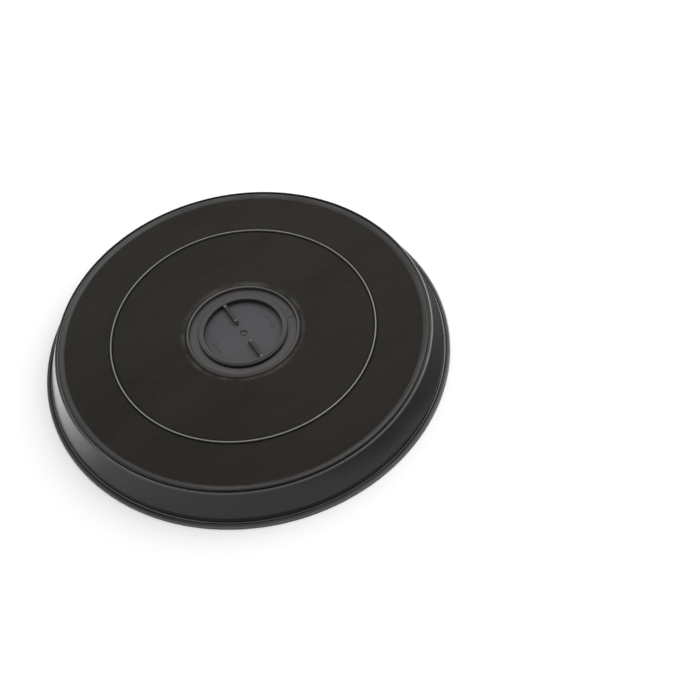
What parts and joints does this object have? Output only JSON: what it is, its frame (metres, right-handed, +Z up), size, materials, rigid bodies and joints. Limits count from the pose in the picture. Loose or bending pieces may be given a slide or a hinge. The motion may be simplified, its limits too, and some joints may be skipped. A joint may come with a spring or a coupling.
{
  "type": "cooker hood carbon filter",
  "caption": "Shallow round carbon filter with a felted face, a ring rib, a hub with a finned finger cup and a bayonet socket behind.",
  "frame": {"origin": "centre of the flange's underside, on the surface that the filter lies on", "axes": "+Z up along the disc's axis, out of the felted face; the two fins lie along Y"},
  "size_m": [0.233, 0.233, 0.021],
  "materials": {
    "moulded_plastic": "black moulded polypropylene, satin, with brighter worn edges",
    "face_felt": "needled felt, warm charcoal, with pale lint",
    "fleece": "thin needled fleece, dark grey",
    "carbon_granules": "loose activated carbon granules, dull black"
  },
  "bodies": {
    "root": {"casing": "moulded_plastic", "felt_outer": "face_felt", "felt_inner": "face_felt", "carbon_bed": "carbon_granules", "rear_fleece": "fleece", "rear_lattice": "moulded_plastic"}
  },
  "joints": []
}
